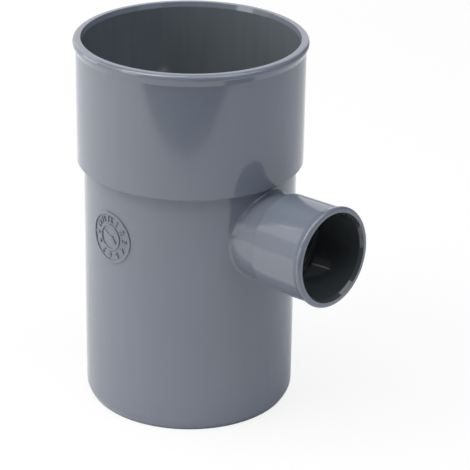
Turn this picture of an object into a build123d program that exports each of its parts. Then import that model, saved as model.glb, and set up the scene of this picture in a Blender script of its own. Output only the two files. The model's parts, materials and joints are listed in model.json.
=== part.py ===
"""Reducing pipe branch, moulded in one piece for soil and waste pipes.

The barrel stands on its spigot. A socket for the same pipe opens upwards, and a neck with a
smaller socket leaves the barrel's side towards +X, rising a little. The origin is the centre
of the spigot's end and +Z runs up the barrel. Sizes are in millimetres and degrees.
"""

from build123d import *
import math
import os

# Pipes that the fitting joins
MAIN_PIPE_OD = 100.0
SIDE_PIPE_OD = 40.0
PIPE_PLAY = 0.1  # radial room for a pipe in its socket

# Walls, and the ledge that stops the side pipe
BARREL_WALL = 3.0
MAIN_SOCKET_WALL = 2.95
SIDE_STOP_LEDGE = 2.5  # the neck's bore is this much smaller in radius than the side pipe
NECK_WALL = 3.2
SIDE_SOCKET_WALL = 2.5

# Lengths up the barrel, from the spigot's end
SPIGOT_LENGTH = 58.0  # the calibrated length that enters the next socket
BELOW_NECK = 16.1  # from there to the neck, at the barrel's wall
ABOVE_NECK = 3.5  # from the neck to the socket's shoulder, at the barrel's wall
SHOULDER_LEAD = 2.5  # each socket's outer shoulder lies this far before its pipe stop
MAIN_SOCKET_DEPTH = 57.5
BARREL_DRAW_IN = 0.15  # the barrel's radius has shrunk by this much at the shoulder

# Lengths out along the side branch, from the barrel's wall
SIDE_ANGLE = 87.5  # between the side axis and the barrel's axis
NECK_LENGTH = 12.6  # to the pipe stop
SIDE_SOCKET_DEPTH = 27.3

# Tapered nose of the spigot
NOSE_LENGTH = 3.2
NOSE_INSET = 1.9
NOSE_ROUND = 6.0

# Flared lips: how far the slope runs, how far it would reach at the mouth, and its rounded edge
MAIN_LIP_HEIGHT = 5.3
MAIN_LIP_FLARE = 2.3
MAIN_LIP_ROUND = 1.95
SIDE_LIP_HEIGHT = 4.2
SIDE_LIP_FLARE = 1.5
SIDE_LIP_ROUND = 1.3

# Lead-ins that guide a pipe into each socket
MAIN_LEAD_IN = 0.6
MAIN_LEAD_IN_DEPTH = 2.5
SIDE_LEAD_IN = 0.9
SIDE_LEAD_IN_DEPTH = 1.8

# Broken and rounded edges
SHOULDER_EDGE_BREAK = 0.8  # both sockets' shoulders
NECK_FOOT_ROUND = 1.5  # where the neck leaves the barrel

# Radii that follow from the pipes and walls
BARREL_RADIUS = MAIN_PIPE_OD / 2
BORE_RADIUS = BARREL_RADIUS - BARREL_WALL
MAIN_SOCKET_BORE = BARREL_RADIUS + PIPE_PLAY
MAIN_SOCKET_RADIUS = MAIN_SOCKET_BORE + MAIN_SOCKET_WALL
NECK_BORE_RADIUS = SIDE_PIPE_OD / 2 - SIDE_STOP_LEDGE
NECK_RADIUS = NECK_BORE_RADIUS + NECK_WALL
SIDE_SOCKET_BORE = SIDE_PIPE_OD / 2 + PIPE_PLAY
SIDE_SOCKET_RADIUS = SIDE_SOCKET_BORE + SIDE_SOCKET_WALL

# Heights up the barrel
NECK_HEIGHT = SPIGOT_LENGTH + BELOW_NECK + NECK_RADIUS  # the side axis, at the barrel's wall
SHOULDER = NECK_HEIGHT + NECK_RADIUS + ABOVE_NECK
STOP = SHOULDER + SHOULDER_LEAD
MOUTH = STOP + MAIN_SOCKET_DEPTH

# Distances out along the side axis, from the barrel's axis
SIDE_STOP = BARREL_RADIUS + NECK_LENGTH
SIDE_SHOULDER = SIDE_STOP - SHOULDER_LEAD
SIDE_MOUTH = SIDE_STOP + SIDE_SOCKET_DEPTH

# The barrel's own directions put the seam of its round faces on the side away from the neck
BARREL_PLANE = Plane(origin=(0, 0, 0), x_dir=(-1, 0, 0), z_dir=(0, 0, 1))
SIDE_RISE = math.radians(90.0 - SIDE_ANGLE)
SIDE_PLANE = Plane(
    origin=(0, 0, NECK_HEIGHT - BARREL_RADIUS * math.tan(SIDE_RISE)),
    x_dir=(0, 1, 0),
    z_dir=(math.cos(SIDE_RISE), 0, math.sin(SIDE_RISE)),
)


def turned(plane, points, rounds=None):
    """A solid turned about the plane's normal from half a section.

    The section's corners are (radius, distance along the normal), and rounds gives some of
    them the radius of their rounding.
    """
    section = make_face(Polyline(*points, close=True))
    for corner, radius in (rounds or {}).items():
        section = fillet(section.vertices().sort_by_distance(corner)[0], radius)
    return plane * revolve(Plane.XZ * section, Axis.Z)


def main_body():
    """Spigot, barrel and main socket, still without their bore."""
    nose_top = (BARREL_RADIUS, NOSE_LENGTH)
    lip_edge = (MAIN_SOCKET_RADIUS + MAIN_LIP_FLARE, MOUTH)
    points = [
        (0, 0),
        (BARREL_RADIUS - NOSE_INSET, 0),
        nose_top,
        (BARREL_RADIUS, SPIGOT_LENGTH),
        (BARREL_RADIUS - BARREL_DRAW_IN, SHOULDER),
        (MAIN_SOCKET_RADIUS - SHOULDER_EDGE_BREAK, SHOULDER),
        (MAIN_SOCKET_RADIUS, SHOULDER + SHOULDER_EDGE_BREAK),
        (MAIN_SOCKET_RADIUS, MOUTH - MAIN_LIP_HEIGHT),
        lip_edge,
        (0, MOUTH),
    ]
    rounds = {nose_top: NOSE_ROUND, lip_edge: MAIN_LIP_ROUND}
    return turned(BARREL_PLANE, points, rounds)


def side_body():
    """Neck and side socket, still without their bore, from inside the barrel outwards."""
    lip_edge = (SIDE_SOCKET_RADIUS + SIDE_LIP_FLARE, SIDE_MOUTH)
    start = BORE_RADIUS / 2
    points = [
        (0, start),
        (NECK_RADIUS, start),
        (NECK_RADIUS, SIDE_SHOULDER),
        (SIDE_SOCKET_RADIUS - SHOULDER_EDGE_BREAK, SIDE_SHOULDER),
        (SIDE_SOCKET_RADIUS, SIDE_SHOULDER + SHOULDER_EDGE_BREAK),
        (SIDE_SOCKET_RADIUS, SIDE_MOUTH - SIDE_LIP_HEIGHT),
        lip_edge,
        (0, SIDE_MOUTH),
    ]
    return turned(SIDE_PLANE, points, {lip_edge: SIDE_LIP_ROUND})


def waterway(plane, bore, stop, socket_bore, mouth, lead_in):
    """The space inside one branch: its bore, the pipe stop, the socket and the lead-in.

    The lead-in is given by how far it widens the mouth and how deep it runs.
    """
    widening, depth = lead_in
    points = [
        (0, 0),
        (bore, 0),
        (bore, stop),
        (socket_bore, stop),
        (socket_bore, mouth - depth),
        (socket_bore + widening, mouth),
        (0, mouth),
    ]
    return turned(plane, points)


def pipe_branch():
    """The whole fitting, with a rounded corner where the neck leaves the barrel."""
    outside = main_body() + side_body()
    # the neck's foot is the only edge here that is neither a line nor an arc
    neck_foot = outside.edges().filter_by(
        lambda edge: edge.geom_type not in (GeomType.LINE, GeomType.CIRCLE)
    )
    outside = fillet(neck_foot, NECK_FOOT_ROUND)
    main_lead_in = (MAIN_LEAD_IN, MAIN_LEAD_IN_DEPTH)
    side_lead_in = (SIDE_LEAD_IN, SIDE_LEAD_IN_DEPTH)
    main_space = waterway(BARREL_PLANE, BORE_RADIUS, STOP, MAIN_SOCKET_BORE, MOUTH, main_lead_in)
    side_space = waterway(
        SIDE_PLANE, NECK_BORE_RADIUS, SIDE_STOP, SIDE_SOCKET_BORE, SIDE_MOUTH, side_lead_in
    )
    return outside - main_space - side_space


os.makedirs("parts", exist_ok=True)
export_step(pipe_branch(), "parts/pipe_branch.step")
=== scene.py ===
import json
import math

import bpy
from mathutils import Matrix, Vector


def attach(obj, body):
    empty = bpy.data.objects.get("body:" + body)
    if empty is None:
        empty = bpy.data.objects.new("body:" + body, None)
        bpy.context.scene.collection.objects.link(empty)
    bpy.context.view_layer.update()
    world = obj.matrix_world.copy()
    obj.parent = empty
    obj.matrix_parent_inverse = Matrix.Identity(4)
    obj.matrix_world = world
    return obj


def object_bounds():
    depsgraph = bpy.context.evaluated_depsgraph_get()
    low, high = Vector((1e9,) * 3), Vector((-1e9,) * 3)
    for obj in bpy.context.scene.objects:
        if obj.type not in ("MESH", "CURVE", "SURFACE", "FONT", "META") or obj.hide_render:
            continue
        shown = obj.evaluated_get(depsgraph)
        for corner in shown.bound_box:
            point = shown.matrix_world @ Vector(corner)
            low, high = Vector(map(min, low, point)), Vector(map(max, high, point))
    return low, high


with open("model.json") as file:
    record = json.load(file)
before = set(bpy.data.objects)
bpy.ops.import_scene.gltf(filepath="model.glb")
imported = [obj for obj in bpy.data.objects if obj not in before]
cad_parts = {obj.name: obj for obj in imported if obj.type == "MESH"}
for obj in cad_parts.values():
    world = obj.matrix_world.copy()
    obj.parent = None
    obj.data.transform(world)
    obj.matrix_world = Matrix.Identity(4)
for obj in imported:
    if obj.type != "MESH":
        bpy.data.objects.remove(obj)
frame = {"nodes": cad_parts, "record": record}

cad_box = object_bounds()
pipe = frame["nodes"]["pipe_branch"]
mounts = {mount["name"]: mount for mount in frame["record"]["mounts"]}

MILLIMETRE = 0.001


def mount_radius(name):
    """A mount's radius in metres."""
    return mounts[name]["dims"]["r_mm"] * MILLIMETRE


# Sizes of the fitting, from the frame
BARREL_RADIUS = mount_radius("spigot")
MAIN_BORE = mount_radius("barrel_bore")
MAIN_SOCKET_BORE = mount_radius("main_socket")
NECK_BORE = mount_radius("neck_bore")
SIDE_SOCKET_BORE = mount_radius("side_socket")
MAIN_STOP = Vector(mounts["main_socket"]["pos_m"])
MAIN_AXIS = Vector(mounts["main_socket"]["axis"])
SIDE_STOP = Vector(mounts["side_socket"]["pos_m"])
SIDE_AXIS = Vector(mounts["side_socket"]["axis"])
MOUTH = cad_box[1].z

# Painted shade inside the bores, on the surfaces that the two cores shaped
PAINTED_SHADE_MARGIN = 0.15 * MILLIMETRE  # the painted shade ends this far outside the plain bores
SIDE_LEAD_IN = 0.9 * MILLIMETRE  # the small core also shaped the side socket's lead-in, and the painted shade covers it too

# Camera: metres and degrees, lens and sensor in millimetres
CAMERA_PLACE = Vector((0.62878, -0.64466, 0.48718))
CAMERA_YAW = -42.916
CAMERA_PITCH = 24.372
CAMERA_ROLL = 0.935
CAMERA_LENS = 158.54
SENSOR_WIDTH = 36.0
CAMERA_AZIMUTH = math.degrees(math.atan2(CAMERA_PLACE.y, CAMERA_PLACE.x))

# Studio: degrees to the camera's right and above the table, metres
STUDIO_CENTRE = Vector((0.0, 0.0, 0.09))
TABLE_FRONT = 0.40
TABLE_TURN = 6.0  # its front edge runs away from the camera by this much towards the left
TABLE_REACH = 3.0
TABLE_WHITE = 0.9
TABLE_ROUGHNESS = 0.7
TABLE_SEEN = 0.85  # share of plain white that the camera sees in the table
STUDIO_FILL = 0.12
LAMP_DISTANCE = 1.3
WARM = (1.04, 1.0, 0.96)
COOL = (0.9, 0.97, 1.12)
PLAIN = (1.0, 1.0, 1.0)

# Grey plastic
PVC_COLOUR = (0.166, 0.190, 0.234)
# The two inside colours are darker only as painted shade in the bores; the plastic is the same
MAIN_INSIDE_PAINTED_SHADE = (0.133, 0.152, 0.168)
SIDE_INSIDE_PAINTED_SHADE = (0.060, 0.068, 0.071)
# Lighter edges: partly rubbing from handling, partly a painted highlight along the rounds
RUB_AND_HIGHLIGHT_COLOUR = (0.235, 0.258, 0.29)
PVC_IOR = 1.54
PVC_SPECULAR = 0.6
PVC_ROUGHNESS = 0.10
PVC_MOTTLE = 0.06  # share by which the colour strays, at the most
INSIDE_MOTTLE = 0.20
PVC_PEEL = 0.004 * MILLIMETRE

# Grain of the plastic: spots per metre, and how many finer layers each grain has
CLOUDS = 28.0
CLOUD_DETAIL = 3.0
FLOW_STREAKS = 260.0
FLOW_DETAIL = 2.0
FLOW_STRETCH = (1.0, 1.0, 0.12)  # the streaks run up the barrel
GLOSS_PATCHES = 110.0
GLOSS_DETAIL = 4.0
GLOSS_SPREAD = 0.35  # share by which the gloss strays
PEEL_SPOTS = 700.0
PEEL_DETAIL = 1.0
RUB_AND_HIGHLIGHT_PATCHES = 190.0
RUB_AND_HIGHLIGHT_DETAIL = 3.0
GRAIN_MIDDLE = 0.5  # every grain strays about this value

# Edges: width of their rounding, a lightening that is partly rubbing and partly painted highlight,
# and the turn of the surface where it starts and is full
EDGE_WIDTH = 0.35 * MILLIMETRE
EDGE_SAMPLES = 6
RUB_AND_HIGHLIGHT_SHARE = 0.5
EDGE_MATTING = 0.15  # how much rougher a fully rubbed edge is
RUB_AND_HIGHLIGHT_START = math.cos(math.radians(6.0))
RUB_AND_HIGHLIGHT_FULL = math.cos(math.radians(32.0))
PATCH_START = 0.3  # the grain's value where a patch of full rubbing and painted highlight starts to show
PATCH_FULL = 0.7
RUB_AND_HIGHLIGHT_BETWEEN = 0.5  # share of the rubbing and painted highlight that is left between the patches

# Mould mark: a raised month dial, facing -Y before it is bent round the barrel
MARK_AZIMUTH = -93.0
MADE_AZIMUTH = -90.0  # where -Y lies
MARK_HEIGHT = 93.0 * MILLIMETRE
MARK_WALL = BARREL_RADIUS - 0.08 * MILLIMETRE  # the barrel tapers a little up to there
MARK_RADIUS = 12.5 * MILLIMETRE
MARK_RELIEF = 0.5 * MILLIMETRE
MARK_ROOT = 0.3 * MILLIMETRE  # how far it is set into the wall
MARK_DEPTH = MARK_RELIEF + MARK_ROOT
MARK_MIDDLE = (MARK_ROOT - MARK_RELIEF) / 2
MARK_SIDES = 96
MARK_EDGE = 0.15 * MILLIMETRE
MARK_EDGE_STEPS = 2
MARK_WELD = MARK_EDGE / 10
MARK_SMOOTHING = math.radians(30.0)
FACING_FRONT = (math.radians(90.0), 0.0, 0.0)  # stands a flat shape up, so that it faces -Y
RIM_WIDTH = 1.3 * MILLIMETRE
HUB_RADIUS = 6.3 * MILLIMETRE
HUB_WIDTH = 0.8 * MILLIMETRE
MONTHS = 12
MONTH_TURN = math.tau / MONTHS
MONTH_RADIUS = 8.75 * MILLIMETRE
MONTH_SIZE = 3.6 * MILLIMETRE
MONTH_STROKE = 0.06 * MILLIMETRE
MONTH_EDGE = 0.06 * MILLIMETRE
MONTH_CURVE_STEPS = 4
ARROW_LENGTH = 9.4 * MILLIMETRE
ARROW_WIDTH = 1.4 * MILLIMETRE
ARROW_HEAD = 3.8 * MILLIMETRE
ARROW_MONTH = 4


def around(azimuth, elevation, distance):
    """A place seen from the fitting, at degrees to the camera's right and above the table."""
    turn = math.radians(CAMERA_AZIMUTH + azimuth)
    rise = math.radians(elevation)
    return STUDIO_CENTRE + distance * Vector(
        (math.cos(turn) * math.cos(rise), math.sin(turn) * math.cos(rise), math.sin(rise))
    )


def photo_camera():
    """The camera where the photo was taken from, turned and then rolled about its own view."""
    yaw, pitch, roll = (math.radians(a) for a in (CAMERA_YAW, CAMERA_PITCH, CAMERA_ROLL))
    forward = Vector((
        math.sin(yaw) * math.cos(pitch), math.cos(yaw) * math.cos(pitch), -math.sin(pitch)
    ))
    level_right = Vector((math.cos(yaw), -math.sin(yaw), 0.0))
    level_up = level_right.cross(forward)
    right = math.cos(roll) * level_right + math.sin(roll) * level_up
    up = math.cos(roll) * level_up - math.sin(roll) * level_right
    camera_data = bpy.data.cameras.new("photo_camera")
    camera_data.lens = CAMERA_LENS
    camera_data.sensor_width = SENSOR_WIDTH
    camera = bpy.data.objects.new("photo_camera", camera_data)
    bpy.context.scene.collection.objects.link(camera)
    camera.matrix_world = Matrix.Translation(CAMERA_PLACE) @ Matrix(
        (right, up, -forward)
    ).transposed().to_4x4()
    bpy.context.scene.camera = camera


# Nodes

def add_node(tree, kind, **settings):
    """A new node, with settings that are not sockets given by their names."""
    node = tree.nodes.new(kind)
    for name, value in settings.items():
        setattr(node, name, value)
    return node


def feed(tree, socket, value):
    """Gives a socket a link, a number or a vector."""
    if isinstance(value, bpy.types.NodeSocket):
        tree.links.new(value, socket)
    else:
        socket.default_value = value


def connect(tree, node, *values):
    """Feeds a node's first inputs in their order. None leaves one as it is."""
    for socket, value in zip(node.inputs, values):
        if value is not None:
            feed(tree, socket, value)
    return node


def maths(tree, operation, *values):
    return connect(tree, add_node(tree, "ShaderNodeMath", operation=operation), *values).outputs[0]


def vector_maths(tree, operation, *values):
    node = add_node(tree, "ShaderNodeVectorMath", operation=operation)
    result = "Value" if operation in ("LENGTH", "DOT_PRODUCT") else "Vector"
    return connect(tree, node, *values).outputs[result]


def ramp(tree, value, low, high, to_low=0.0, to_high=1.0):
    """Runs smoothly from to_low to to_high while value goes from low to high."""
    node = add_node(tree, "ShaderNodeMapRange", interpolation_type="SMOOTHSTEP")
    return connect(tree, node, value, low, high, to_low, to_high).outputs[0]


def blend_colours(tree, mask, first, second):
    """The first colour where the mask is 0 and the second where it is 1."""
    node = add_node(tree, "ShaderNodeMix", data_type="RGBA")
    sockets = {socket.identifier: socket for socket in node.inputs}
    feed(tree, sockets["Factor_Float"], mask)
    for name, colour in (("A_Color", first), ("B_Color", second)):
        plain = isinstance(colour, tuple)
        feed(tree, sockets[name], (*colour, 1.0) if plain else colour)
    return next(socket for socket in node.outputs if socket.identifier == "Result_Color")


def noise(tree, places, spots_per_metre, detail):
    node = add_node(tree, "ShaderNodeTexNoise")
    tree.links.new(places, node.inputs["Vector"])
    node.inputs["Scale"].default_value = spots_per_metre
    node.inputs["Detail"].default_value = detail
    return node.outputs[0]


def stretched(tree, places, scale):
    node = add_node(tree, "ShaderNodeMapping")
    tree.links.new(places, node.inputs["Vector"])
    node.inputs["Scale"].default_value = scale
    return node.outputs[0]


def new_group(name, inputs, outputs):
    """An empty group with inputs {name: (kind, value)} and outputs {name: kind}."""
    group = bpy.data.node_groups.new(name, "ShaderNodeTree")
    for socket_name, (kind, value) in inputs.items():
        socket = group.interface.new_socket(socket_name, in_out="INPUT", socket_type=kind)
        if value is not None:
            socket.default_value = value
    for socket_name, kind in outputs.items():
        group.interface.new_socket(socket_name, in_out="OUTPUT", socket_type=kind)
    return group, group.nodes.new("NodeGroupInput").outputs, group.nodes.new("NodeGroupOutput").inputs


def use_group(tree, group, **values):
    """Places a group in a material and feeds its inputs by their names."""
    node = add_node(tree, "ShaderNodeGroup", node_tree=group)
    for name, value in values.items():
        feed(tree, node.inputs[name], value)
    return node.outputs


def moulded_skin_group():
    """Mottled colour, uneven gloss and the faint orange peel of a moulded surface."""
    group, given, result = new_group(
        "moulded_skin",
        {
            "Vector": ("NodeSocketVector", None),
            "Color": ("NodeSocketColor", None),
            "Mottle": ("NodeSocketFloat", PVC_MOTTLE),
            "Roughness": ("NodeSocketFloat", PVC_ROUGHNESS),
        },
        {"Color": "NodeSocketColor", "Roughness": "NodeSocketFloat", "Height": "NodeSocketFloat"},
    )
    places = given["Vector"]
    clouds = noise(group, places, CLOUDS, CLOUD_DETAIL)
    streaks = noise(group, stretched(group, places, FLOW_STRETCH), FLOW_STREAKS, FLOW_DETAIL)
    shade = maths(group, "SUBTRACT", maths(group, "ADD", clouds, streaks), 2 * GRAIN_MIDDLE)
    gain = maths(group, "MULTIPLY_ADD", shade, given["Mottle"], 1.0)
    group.links.new(vector_maths(group, "SCALE", given["Color"], None, None, gain), result["Color"])
    patches = noise(group, places, GLOSS_PATCHES, GLOSS_DETAIL)
    stray = maths(group, "SUBTRACT", patches, GRAIN_MIDDLE)
    gloss = maths(group, "MULTIPLY_ADD", stray, GLOSS_SPREAD, 1.0)
    group.links.new(maths(group, "MULTIPLY", given["Roughness"], gloss), result["Roughness"])
    group.links.new(noise(group, places, PEEL_SPOTS, PEEL_DETAIL), result["Height"])
    return group


def worn_edges_group():
    """The rounding of small edges, and a mask of where they are painted lighter: partly rubbing from
    handling, partly a painted highlight.
    """
    group, given, result = new_group(
        "rubbed_and_highlit_edges",
        {"Vector": ("NodeSocketVector", None), "Wear": ("NodeSocketFloat", RUB_AND_HIGHLIGHT_SHARE)},
        {"Mask": "NodeSocketFloat", "Normal": "NodeSocketVector"},
    )
    rounded = add_node(group, "ShaderNodeBevel", samples=EDGE_SAMPLES)
    rounded.inputs["Radius"].default_value = EDGE_WIDTH
    surface = add_node(group, "ShaderNodeNewGeometry")
    along = vector_maths(group, "DOT_PRODUCT", rounded.outputs[0], surface.outputs["Normal"])
    edge = ramp(group, along, RUB_AND_HIGHLIGHT_START, RUB_AND_HIGHLIGHT_FULL)
    spots = noise(group, given["Vector"], RUB_AND_HIGHLIGHT_PATCHES, RUB_AND_HIGHLIGHT_DETAIL)
    patches = ramp(group, spots, PATCH_START, PATCH_FULL, to_low=RUB_AND_HIGHLIGHT_BETWEEN)
    mask = maths(group, "MULTIPLY", maths(group, "MULTIPLY", edge, patches), given["Wear"])
    group.links.new(mask, result["Mask"])
    group.links.new(rounded.outputs[0], result["Normal"])
    return group


def waterway_group():
    """A mask of one branch's inside, by distance from its axis on each side of the pipe stop.

    Reach is how far the mask goes back from the stop, into the fitting.
    """
    group, given, result = new_group(
        "waterway",
        {
            "Vector": ("NodeSocketVector", None),
            "Stop": ("NodeSocketVector", None),
            "Axis": ("NodeSocketVector", None),
            "Bore": ("NodeSocketFloat", None),
            "Socket": ("NodeSocketFloat", None),
            "Reach": ("NodeSocketFloat", None),
        },
        {"Mask": "NodeSocketFloat"},
    )
    from_stop = vector_maths(group, "SUBTRACT", given["Vector"], given["Stop"])
    along = vector_maths(group, "DOT_PRODUCT", from_stop, given["Axis"])
    radius = vector_maths(
        group, "LENGTH", vector_maths(group, "CROSS_PRODUCT", from_stop, given["Axis"])
    )
    past_stop = maths(group, "GREATER_THAN", along, 0.0)
    widening = maths(group, "SUBTRACT", given["Socket"], given["Bore"])
    limit = maths(group, "MULTIPLY_ADD", past_stop, widening, given["Bore"])
    room = maths(group, "SUBTRACT", limit, radius)
    in_reach = maths(group, "GREATER_THAN", along, maths(group, "MULTIPLY", given["Reach"], -1.0))
    soft = ramp(group, room, 0.0, PAINTED_SHADE_MARGIN)
    group.links.new(maths(group, "MULTIPLY", soft, in_reach), result["Mask"])
    return group


def object_places(tree):
    return add_node(tree, "ShaderNodeTexCoord").outputs["Object"]


def new_material(name):
    material = bpy.data.materials.new(name)
    material.use_nodes = True
    return material, material.node_tree, material.node_tree.nodes["Principled BSDF"]


def dress_plastic(tree, shader, colour, mottle, rub_and_highlight, places, skin, edges):
    """Colour, gloss and small relief of the grey plastic, the same on the body and the mark."""
    shader.inputs["IOR"].default_value = PVC_IOR
    shader.inputs["Specular IOR Level"].default_value = PVC_SPECULAR
    rubbed_and_highlit = use_group(tree, edges, Vector=places, Wear=rub_and_highlight)
    moulded = use_group(
        tree, skin, Vector=places, Color=colour, Mottle=mottle, Roughness=PVC_ROUGHNESS
    )
    # Edges painted lighter: partly rubbing from handling, partly a painted highlight
    lightened = blend_colours(tree, rubbed_and_highlit["Mask"], moulded["Color"], RUB_AND_HIGHLIGHT_COLOUR)
    tree.links.new(lightened, shader.inputs["Base Color"])
    tree.links.new(
        maths(tree, "MULTIPLY_ADD", rubbed_and_highlit["Mask"], EDGE_MATTING, moulded["Roughness"]),
        shader.inputs["Roughness"],
    )
    peel = add_node(tree, "ShaderNodeBump")
    peel.inputs["Distance"].default_value = PVC_PEEL
    tree.links.new(moulded["Height"], peel.inputs["Height"])
    tree.links.new(rubbed_and_highlit["Normal"], peel.inputs["Normal"])
    tree.links.new(peel.outputs[0], shader.inputs["Normal"])


def grey_pvc(skin, edges, waterway):
    """The fitting's own plastic: glossy outside, with painted shade that darkens it inside the bores.
    """
    material, tree, shader = new_material("grey_pvc_finish")
    places = object_places(tree)
    main = use_group(
        tree, waterway, Vector=places, Stop=MAIN_STOP, Axis=MAIN_AXIS,
        Bore=MAIN_BORE + PAINTED_SHADE_MARGIN, Socket=MAIN_SOCKET_BORE + PAINTED_SHADE_MARGIN, Reach=MOUTH,
    )
    side = use_group(
        tree, waterway, Vector=places, Stop=SIDE_STOP, Axis=SIDE_AXIS,
        Bore=NECK_BORE + PAINTED_SHADE_MARGIN, Socket=SIDE_SOCKET_BORE + SIDE_LEAD_IN + PAINTED_SHADE_MARGIN,
        Reach=SIDE_STOP.x,
    )
    inside = maths(tree, "MAXIMUM", main["Mask"], side["Mask"])
    # Painted shade: the bores are coloured darker, standing in for the shade that falls inside them
    colour = blend_colours(tree, main["Mask"], PVC_COLOUR, MAIN_INSIDE_PAINTED_SHADE)
    colour = blend_colours(tree, side["Mask"], colour, SIDE_INSIDE_PAINTED_SHADE)
    mottle = maths(tree, "MULTIPLY_ADD", inside, INSIDE_MOTTLE - PVC_MOTTLE, PVC_MOTTLE)
    # no rubbing and no painted edge highlight inside the bores
    rub_and_highlight = maths(tree, "MULTIPLY_ADD", inside, -RUB_AND_HIGHLIGHT_SHARE, RUB_AND_HIGHLIGHT_SHARE)
    dress_plastic(tree, shader, colour, mottle, rub_and_highlight, places, skin, edges)
    return material


def mark_pvc(skin, edges):
    """The same plastic on the mould mark."""
    material, tree, shader = new_material("grey_pvc_mark")
    colour = (*PVC_COLOUR, 1.0)
    places = object_places(tree)
    dress_plastic(tree, shader, colour, PVC_MOTTLE, RUB_AND_HIGHLIGHT_SHARE, places, skin, edges)
    return material


# Mould mark

def apply_modifiers(piece):
    """Makes a piece's modifiers part of its mesh, in their order."""
    bpy.context.view_layer.objects.active = piece
    for modifier in list(piece.modifiers):
        bpy.ops.object.modifier_apply(modifier=modifier.name)


def settle():
    """Puts the selected pieces' places into their meshes."""
    bpy.ops.object.transform_apply(location=True, rotation=True, scale=True)


def turn_about(axis, angle):
    """Turns the selected pieces round an axis of the frame.

    With no window the operator turns the other way, so its value has the other sign.
    """
    bpy.ops.transform.rotate(
        value=-angle, orient_axis=axis, orient_type="GLOBAL", center_override=(0.0, 0.0, 0.0)
    )
    settle()


def round_edges(piece):
    edge = piece.modifiers.new("edge", "BEVEL")
    edge.width = MARK_EDGE
    edge.segments = MARK_EDGE_STEPS
    apply_modifiers(piece)


def raised_ring(radius, width):
    """A flat ring of the mark, made from an open tube whose wall is given its thickness."""
    bpy.ops.object.select_all(action="DESELECT")
    bpy.ops.mesh.primitive_cylinder_add(
        vertices=MARK_SIDES, radius=radius, depth=MARK_DEPTH, end_fill_type="NOTHING",
        rotation=FACING_FRONT, location=(0.0, MARK_MIDDLE, 0.0),
    )
    ring = bpy.context.object
    settle()
    wall = ring.modifiers.new("wall", "SOLIDIFY")
    wall.thickness = width
    round_edges(ring)
    return ring


def month_number(month):
    """One number of the dial, its foot towards the middle."""
    bpy.ops.object.select_all(action="DESELECT")
    bpy.ops.object.text_add(rotation=FACING_FRONT)
    number = bpy.context.object
    number.data.body = str(month)
    number.data.size = MONTH_SIZE
    number.data.align_x = "CENTER"
    number.data.align_y = "CENTER"
    number.data.resolution_u = MONTH_CURVE_STEPS
    number.data.offset = MONTH_STROKE
    number.data.bevel_depth = MONTH_EDGE
    number.data.extrude = MARK_DEPTH / 2 - MONTH_EDGE
    bpy.ops.object.convert(target="MESH")
    number = bpy.context.object
    number.location = (0.0, MARK_MIDDLE, MONTH_RADIUS)
    settle()
    turn_about("Y", month * MONTH_TURN)
    return number


def arrow():
    """The dial's hand: a bar whose end face is widened, drawn out and brought to a point."""
    bpy.ops.object.select_all(action="DESELECT")
    bpy.ops.mesh.primitive_cube_add(
        size=1.0, location=(0.0, MARK_MIDDLE, 0.0),
        scale=(ARROW_WIDTH, MARK_DEPTH, ARROW_LENGTH - ARROW_HEAD),
    )
    hand = bpy.context.object
    settle()
    end = max(hand.data.polygons, key=lambda face: face.center.z).index
    bpy.ops.object.mode_set(mode="EDIT")
    bpy.ops.mesh.select_all(action="DESELECT")
    bpy.ops.object.mode_set(mode="OBJECT")
    hand.data.polygons[end].select = True
    bpy.ops.object.mode_set(mode="EDIT")
    bpy.ops.mesh.select_mode(type="FACE")
    bpy.ops.mesh.extrude_region_move()
    bpy.ops.transform.resize(value=(ARROW_HEAD / ARROW_WIDTH, 1.0, 1.0))
    bpy.ops.mesh.extrude_region_move(TRANSFORM_OT_translate={"value": (0.0, 0.0, ARROW_HEAD)})
    bpy.ops.transform.resize(value=(0.0, 1.0, 1.0))
    bpy.ops.mesh.select_all(action="SELECT")
    bpy.ops.mesh.remove_doubles(threshold=MARK_WELD)
    bpy.ops.mesh.normals_make_consistent(inside=False)
    bpy.ops.transform.translate(value=(0.0, 0.0, -ARROW_HEAD / 2))
    bpy.ops.object.mode_set(mode="OBJECT")
    turn_about("Y", ARROW_MONTH * MONTH_TURN)
    round_edges(hand)
    return hand


def mould_mark(finish):
    """The dial, joined, bent round the barrel and set into its wall."""
    parts = [raised_ring(MARK_RADIUS, RIM_WIDTH), raised_ring(HUB_RADIUS, HUB_WIDTH), arrow()]
    parts += [month_number(month) for month in range(1, MONTHS + 1)]
    bpy.ops.object.select_all(action="DESELECT")
    for part in parts:
        part.select_set(True)
    mark = parts[0]
    bpy.context.view_layer.objects.active = mark
    bpy.ops.object.join()
    mark.name = "mould_mark"
    mark.data.name = "mould_mark"
    bend = mark.modifiers.new("bend", "SIMPLE_DEFORM")
    bend.deform_method = "BEND"
    bend.deform_axis = "Z"
    bend.angle = mark.dimensions.x / MARK_WALL
    apply_modifiers(mark)
    mark.location = (0.0, -MARK_WALL, MARK_HEIGHT)
    settle()
    turn_about("Z", math.radians(MARK_AZIMUTH - MADE_AZIMUTH))
    bpy.ops.object.shade_smooth_by_angle(angle=MARK_SMOOTHING)
    mark.data.materials.clear()
    mark.data.materials.append(finish)
    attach(mark, "root")


# Studio

def white_table():
    """Matt white board, shown lighter to the camera so that the shadow on it stays faint."""
    material, tree, shader = new_material("white_table")
    shader.inputs["Base Color"].default_value = (TABLE_WHITE, TABLE_WHITE, TABLE_WHITE, 1.0)
    shader.inputs["Roughness"].default_value = TABLE_ROUGHNESS
    glow = add_node(tree, "ShaderNodeEmission")
    path = add_node(tree, "ShaderNodeLightPath")
    share = maths(tree, "MULTIPLY", path.outputs["Is Camera Ray"], TABLE_SEEN)
    mix = add_node(tree, "ShaderNodeMixShader")
    connect(tree, mix, share, shader.outputs[0], glow.outputs[0])
    tree.links.new(mix.outputs[0], tree.nodes["Material Output"].inputs["Surface"])
    return material


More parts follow.
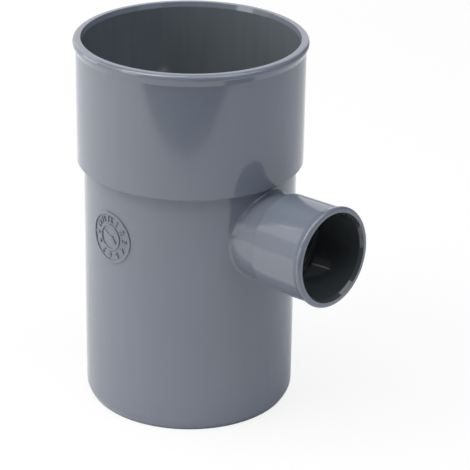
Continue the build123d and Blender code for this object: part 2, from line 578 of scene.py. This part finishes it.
def table():
    """White table top, with a straight front edge that lies nearly square to the camera."""
    bpy.ops.object.select_all(action="DESELECT")
    bpy.ops.mesh.primitive_plane_add(size=1.0, location=(0.0, 0.0, 0.0))
    top = bpy.context.object
    top.name = "table"
    depth = TABLE_REACH + TABLE_FRONT
    top.data.transform(
        Matrix.Rotation(math.radians(CAMERA_AZIMUTH - TABLE_TURN), 4, "Z")
        @ Matrix.Translation((TABLE_FRONT - depth / 2, 0.0, 0.0))
        @ Matrix.Diagonal((depth, 2 * TABLE_REACH, 1.0, 1.0))
    )
    top.data.materials.append(white_table())


def softbox(name, azimuth, elevation, size, strength, tint=PLAIN):
    """A lamp that faces the fitting, its width and height in metres.

    Strength is how white the lamp itself would look, with 1 for plain white.
    """
    width, height = size
    data = bpy.data.lights.new(name, "AREA")
    data.shape = "RECTANGLE"
    data.size = width
    data.size_y = height
    data.energy = strength * width * height * math.pi
    data.color = tint
    lamp = bpy.data.objects.new(name, data)
    bpy.context.scene.collection.objects.link(lamp)
    place = around(azimuth, elevation, LAMP_DISTANCE)
    lamp.matrix_world = Matrix.Translation(place) @ (
        (STUDIO_CENTRE - place).to_track_quat("-Z", "Y").to_matrix().to_4x4()
    )
    lamp.visible_camera = False


def lamps():
    """Soft lamps and lit walls: on the left, behind, on the right and above."""
    softbox("left_wall", -80, 9, (0.55, 0.75), 0.6)
    softbox("left_back_wall", -110, 9, (0.55, 0.75), 2.7)
    softbox("back_left", -137, 20, (0.7, 1.1), 1.0)
    softbox("left_high", -92, 35, (1.0, 0.45), 1.3)
    softbox("key", -68, 54, (0.65, 0.6), 4.9, WARM)
    softbox("low_key", -59, 14, (0.42, 0.6), 3.0, WARM)
    softbox("front_left", -39, 57, (0.4, 0.5), 2.9, WARM)
    softbox("back_wall", 180, 25, (1.5, 1.1), 0.95)
    softbox("right_wall", 80, 20, (0.8, 0.8), 0.15, COOL)
    softbox("right_front", 45, 15, (0.6, 0.7), 0.45, COOL)
    softbox("right_high", 60, 52, (0.9, 0.6), 2.2, COOL)
    softbox("top_left", -80, 78, (0.5, 0.5), 3.8)
    softbox("top_right", 40, 76, (0.9, 0.6), 2.2)


def white_world():
    """Plain white to the camera, and a faint even fill to everything else."""
    studio = bpy.data.worlds.new("studio")
    bpy.context.scene.world = studio
    studio.use_nodes = True
    tree = studio.node_tree
    background = tree.nodes["Background"]
    background.inputs["Color"].default_value = (*PLAIN, 1.0)
    path = add_node(tree, "ShaderNodeLightPath")
    share = ramp(tree, path.outputs["Is Camera Ray"], 0.0, 1.0, to_low=STUDIO_FILL)
    tree.links.new(share, background.inputs["Strength"])


skin = moulded_skin_group()
edges = worn_edges_group()
pipe.data.materials.clear()
pipe.data.materials.append(grey_pvc(skin, edges, waterway_group()))
mould_mark(mark_pvc(skin, edges))
photo_camera()
table()
lamps()
white_world()
bpy.context.scene.view_settings.view_transform = "Standard"
